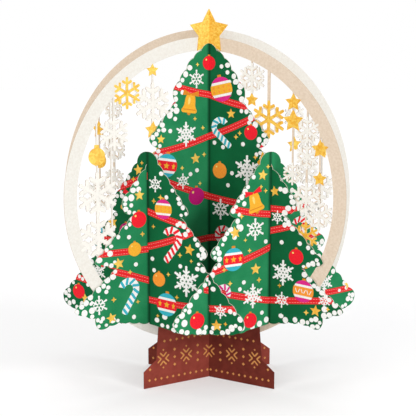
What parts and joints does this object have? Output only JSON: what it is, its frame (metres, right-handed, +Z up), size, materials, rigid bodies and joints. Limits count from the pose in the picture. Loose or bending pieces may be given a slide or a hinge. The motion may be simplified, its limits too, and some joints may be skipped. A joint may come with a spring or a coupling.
{
  "type": "pop-up card",
  "caption": "Pop-up card: folded paper Christmas tree with a star and trunk, crossed by small trees, standing in round paper rings hung with snowflakes.",
  "frame": {"origin": "middle of the foot of the front trunk's fold, on the plane the card stands on", "axes": "+Z up, -Y toward the viewer of the front side, +X to that viewer's right"},
  "size_m": [0.1677, 0.0995, 0.2],
  "materials": {
    "tree_print": "printed matt card",
    "cream_card": "matt card",
    "gold_glitter": "glitter card",
    "brown_print": "printed matt card"
  },
  "bodies": {
    "root": {"tree_front": "tree_print", "tree_back": "tree_print", "left_tree": "tree_print", "right_tree": "tree_print", "ring_front": "cream_card", "ring_back": "cream_card", "star_front": "gold_glitter", "star_back": "gold_glitter", "trunk_front": "brown_print", "trunk_back": "brown_print"}
  },
  "joints": []
}
